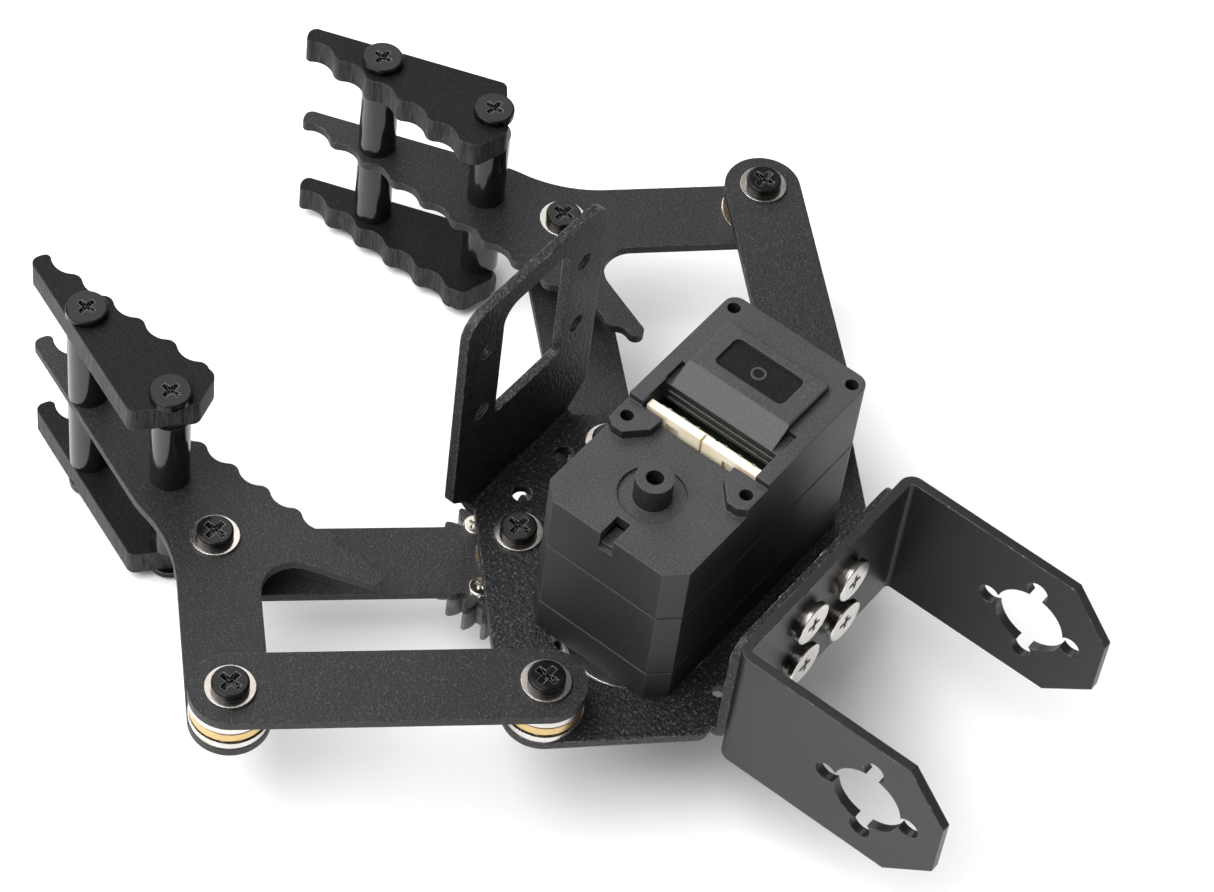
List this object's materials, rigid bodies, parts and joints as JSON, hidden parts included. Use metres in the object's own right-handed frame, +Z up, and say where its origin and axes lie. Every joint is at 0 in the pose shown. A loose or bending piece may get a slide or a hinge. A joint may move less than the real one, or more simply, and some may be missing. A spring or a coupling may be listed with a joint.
{
  "type": "two-finger parallel servo gripper",
  "caption": "Parallel-jaw gripper for a desktop robot arm: geared four-bar fingers with serrated jaws, a bus servo on a flanged plate, and a U wrist bracket.",
  "frame": {"origin": "centre of the wrist axis, midway between the bracket's two ears", "axes": "+Y from the wrist to the fingertips, +Z up out of the servo's back cover, +X to the right finger, along the wrist axis"},
  "size_m": [0.1384, 0.1581, 0.0668],
  "materials": {
    "powder_black": "coarse wrinkle powder coat, matt",
    "satin_black": "smooth satin black coat",
    "sand_black": "fine sand-textured black coat, matt",
    "jaw_black": "blasted and anodised black, satin edges",
    "gloss_black": "glossy black anodised turned aluminium",
    "black_oxide": "black oxide steel, slightly oiled",
    "bright_steel": "nickel plated steel",
    "bearing_steel": "ground bearing steel",
    "brass_cage": "stamped brass",
    "gear_dark": "hard anodised dark, machined teeth",
    "horn_silver": "clear anodised, turned",
    "servo_plastic": "fine spark-eroded grain, matt",
    "ivory_plastic": "moulded nylon, semi-gloss",
    "board_green": "solder mask",
    "motor_can": "drawn steel can",
    "bush_bronze": "sintered bronze"
  },
  "bodies": {
    "base": {"base_plate": "powder_black", "wrist_bracket": "satin_black", "bracket_screws": "bright_steel", "bracket_washers": "bright_steel", "servo_bottom_cover": "servo_plastic", "servo_middle_case": "servo_plastic", "servo_back_cover": "servo_plastic", "servo_shaft_bush": "bush_bronze", "servo_motor": "motor_can", "servo_circuit_board": "board_green", "servo_connectors": "ivory_plastic", "connector_pins": "bright_steel", "servo_case_screws": "black_oxide", "servo_mount_screws": "black_oxide", "base_pivot_screws": "black_oxide", "base_pivot_washers": "bright_steel", "base_pivot_sleeves": "bearing_steel", "base_pivot_nuts": "bright_steel", "base_bearing_races": "bearing_steel", "base_bearing_cages": "brass_cage", "base_bearing_balls": "bright_steel"},
    "drive_gear": {"output_shaft": "bearing_steel", "servo_horn": "horn_silver", "drive_pinion": "gear_dark", "horn_screws": "bright_steel", "horn_centre_screw": "black_oxide"},
    "left_arm": {"left_arm_plate": "sand_black", "left_arm_gear": "gear_dark", "left_gear_screws": "bright_steel", "left_arm_races": "bearing_steel"},
    "left_link": {"left_link_plate": "sand_black", "left_link_races": "bearing_steel"},
    "left_finger": {"left_finger_balls": "bright_steel", "left_finger_cages": "brass_cage", "left_finger_nuts": "bright_steel", "left_finger_plate": "sand_black", "left_finger_screws": "black_oxide", "left_finger_sleeves": "bearing_steel", "left_finger_washers": "bright_steel", "left_jaw_screws": "black_oxide", "left_lower_jaw": "jaw_black", "left_standoffs": "gloss_black", "left_upper_jaw": "jaw_black"},
    "right_arm": {"right_arm_plate": "sand_black", "right_arm_gear": "gear_dark", "right_gear_screws": "bright_steel", "right_arm_races": "bearing_steel"},
    "right_link": {"right_link_plate": "sand_black", "right_link_races": "bearing_steel"},
    "right_finger": {"right_finger_balls": "bright_steel", "right_finger_cages": "brass_cage", "right_finger_nuts": "bright_steel", "right_finger_plate": "sand_black", "right_finger_screws": "black_oxide", "right_finger_sleeves": "bearing_steel", "right_finger_washers": "bright_steel", "right_jaw_screws": "black_oxide", "right_lower_jaw": "jaw_black", "right_standoffs": "gloss_black", "right_upper_jaw": "jaw_black"}
  },
  "joints": [
    {"name": "left_arm_pivot", "type": "hinge", "parent": "base", "child": "left_arm", "pos_m": [-0.011, 0.06898, -0.0171], "axis": [0, 0, 1], "range_deg": [-41.4, 29]},
    {"name": "left_link_pivot", "type": "hinge", "parent": "base", "child": "left_link", "pos_m": [-0.033, 0.04698, -0.0044], "axis": [0, 0, 1], "range_deg": [-41.4, 29]},
    {"name": "left_finger_pivot", "type": "hinge", "parent": "left_arm", "child": "left_finger", "pos_m": [-0.04118, 0.10168, -0.0171], "axis": [0, 0, 1], "range_deg": [-29, 41.4]},
    {"name": "drive_gear_spin", "type": "hinge", "parent": "base", "child": "drive_gear", "pos_m": [-0.012, 0.047, -0.0191], "axis": [0, 0, 1], "range_deg": [-29, 41.4]},
    {"name": "right_arm_pivot", "type": "hinge", "parent": "base", "child": "right_arm", "pos_m": [0.011, 0.06898, -0.0171], "axis": [0, 0, 1], "range_deg": [-29, 41.4]},
    {"name": "right_link_pivot", "type": "hinge", "parent": "base", "child": "right_link", "pos_m": [0.033, 0.04698, -0.0044], "axis": [0, 0, 1], "range_deg": [-29, 41.4]},
    {"name": "right_finger_pivot", "type": "hinge", "parent": "right_arm", "child": "right_finger", "pos_m": [0.04118, 0.10168, -0.0171], "axis": [0, 0, 1], "range_deg": [-41.4, 29]}
  ],
  "couplings": [
    {"joint": "left_link_pivot", "follows": "left_arm_pivot", "ratio": 1},
    {"joint": "left_finger_pivot", "follows": "left_arm_pivot", "ratio": -1},
    {"joint": "drive_gear_spin", "follows": "left_arm_pivot", "ratio": -1},
    {"joint": "right_arm_pivot", "follows": "left_arm_pivot", "ratio": -1},
    {"joint": "right_link_pivot", "follows": "left_arm_pivot", "ratio": -1},
    {"joint": "right_finger_pivot", "follows": "left_arm_pivot", "ratio": 1}
  ]
}
